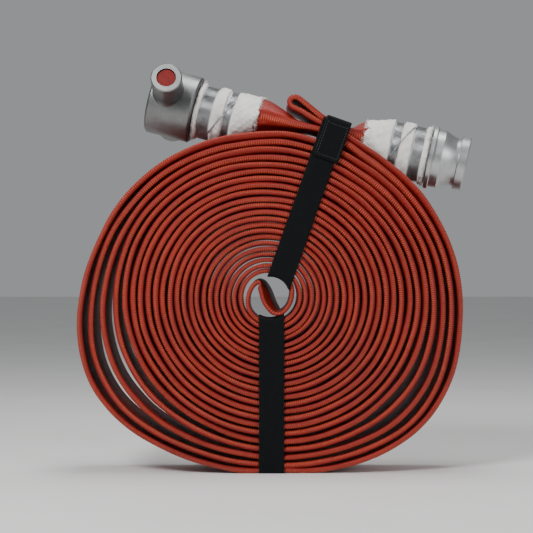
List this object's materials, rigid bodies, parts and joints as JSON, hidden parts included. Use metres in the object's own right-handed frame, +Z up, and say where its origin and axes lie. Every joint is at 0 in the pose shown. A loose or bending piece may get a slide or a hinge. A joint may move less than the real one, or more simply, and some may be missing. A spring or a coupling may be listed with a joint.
{
  "type": "rolled fire hose",
  "caption": "Layflat fire hose double-rolled from its middle, held by two webbing straps, with a female and a male instantaneous coupling bound into its ends.",
  "frame": {"origin": "on the floor under the centre of the roll, in the middle of the hose's width", "axes": "+Z up, +Y from the front of the roll to its back, +X towards the male coupling"},
  "size_m": [0.5983, 0.1921, 0.6175],
  "materials": {
    "hose_rubber": "ribbed rubber cover over a woven jacket, satin sheen on the fold edges",
    "webbing": "black woven webbing, matt",
    "hook_tape": "black hook tape",
    "brushed_aluminium": "brushed, dull, bright bevels",
    "machined_aluminium": "bright machined",
    "gland_aluminium": "machined",
    "black_rubber": "moulded",
    "plunger_steel": "turned",
    "spring_steel": "drawn wire",
    "red_head": "satin red",
    "binding_cloth": "white woven cloth, frayed edges",
    "binding_wire": "galvanised wire"
  },
  "bodies": {
    "roll": {"hose": "hose_rubber", "strap_upper": "webbing", "strap_upper_hook_pad": "hook_tape", "strap_lower": "webbing", "strap_lower_hook_pad": "hook_tape", "female_body": "brushed_aluminium", "sealing_washer": "black_rubber", "plunger_spring_front": "spring_steel", "plunger_spring_rear": "spring_steel", "plunger_gland_front": "gland_aluminium", "plunger_gland_rear": "gland_aluminium", "female_binding_cloth": "binding_cloth", "female_binding_wire": "binding_wire", "male_body": "machined_aluminium", "male_binding_cloth": "binding_cloth", "male_binding_wire": "binding_wire"},
    "front_latch": {"latch_plunger_front": "plunger_steel", "release_head_front": "red_head"},
    "rear_latch": {"latch_plunger_rear": "plunger_steel", "release_head_rear": "red_head"}
  },
  "joints": [
    {"name": "front_latch_slide", "type": "slide", "parent": "roll", "child": "front_latch", "axis": [-0.001, -0.9472, 0.3206], "range_m": [0, 0.0065], "stiffness_N_per_m": 2500, "springref_m": -0.008, "deforming": ["plunger_spring_front"]},
    {"name": "rear_latch_slide", "type": "slide", "parent": "roll", "child": "rear_latch", "axis": [0.001, 0.9472, -0.3206], "range_m": [0, 0.0065], "stiffness_N_per_m": 2500, "springref_m": -0.008, "deforming": ["plunger_spring_rear"]}
  ]
}
